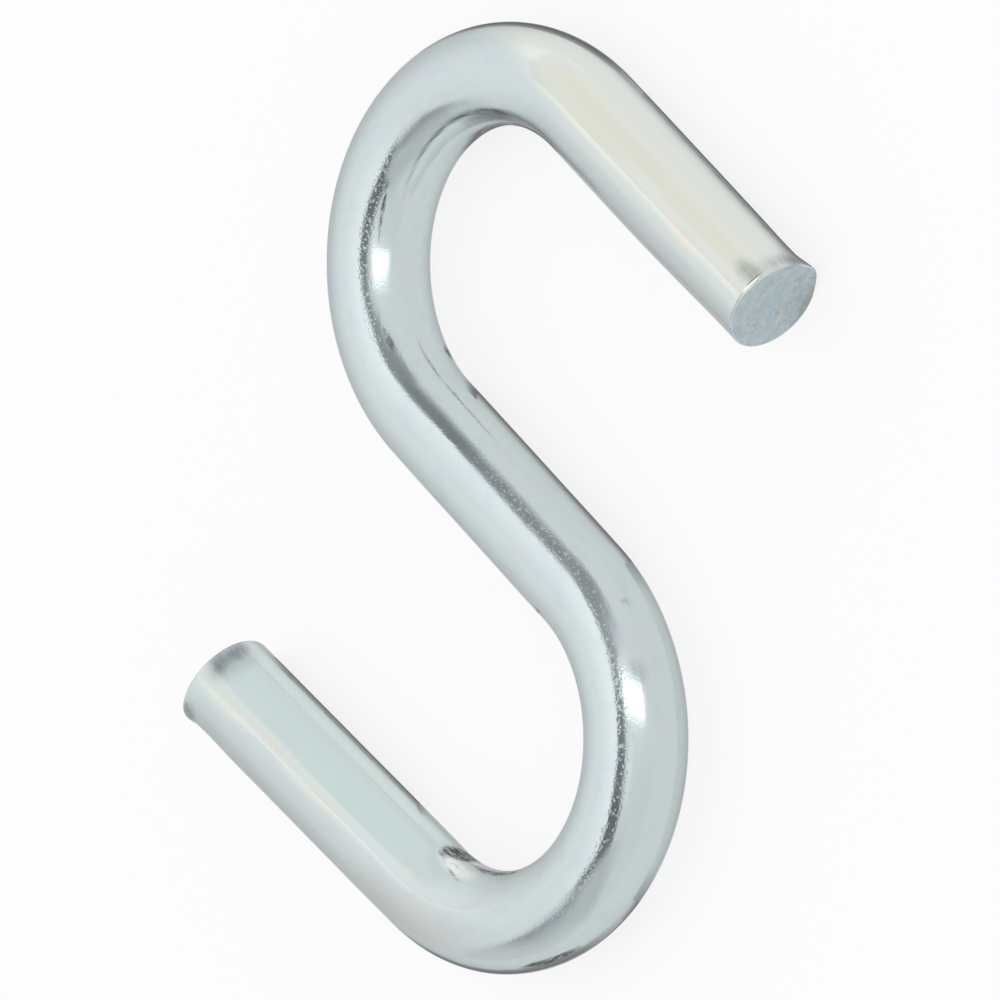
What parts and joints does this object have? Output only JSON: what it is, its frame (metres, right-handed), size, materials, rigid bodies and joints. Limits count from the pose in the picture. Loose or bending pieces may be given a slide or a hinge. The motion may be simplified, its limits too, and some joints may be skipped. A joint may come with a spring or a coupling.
{
  "type": "s hook",
  "caption": "Open S hook bent from round rod, with two opposed round hooks in one plane and plain sheared ends.",
  "frame": {"origin": "centre of the bounding box in plan, on the surface that the hook lies on", "axes": "+Z square to the plane of the S, +X along the shank towards the lower bend, +Y towards the upper tail"},
  "size_m": [0.0456, 0.0536, 0.0063],
  "materials": {
    "zinc_plate": "bright zinc plate, slightly grainy, with sheared ends in a matt blue-grey"
  },
  "bodies": {
    "root": {"hook": "zinc_plate"}
  },
  "joints": []
}
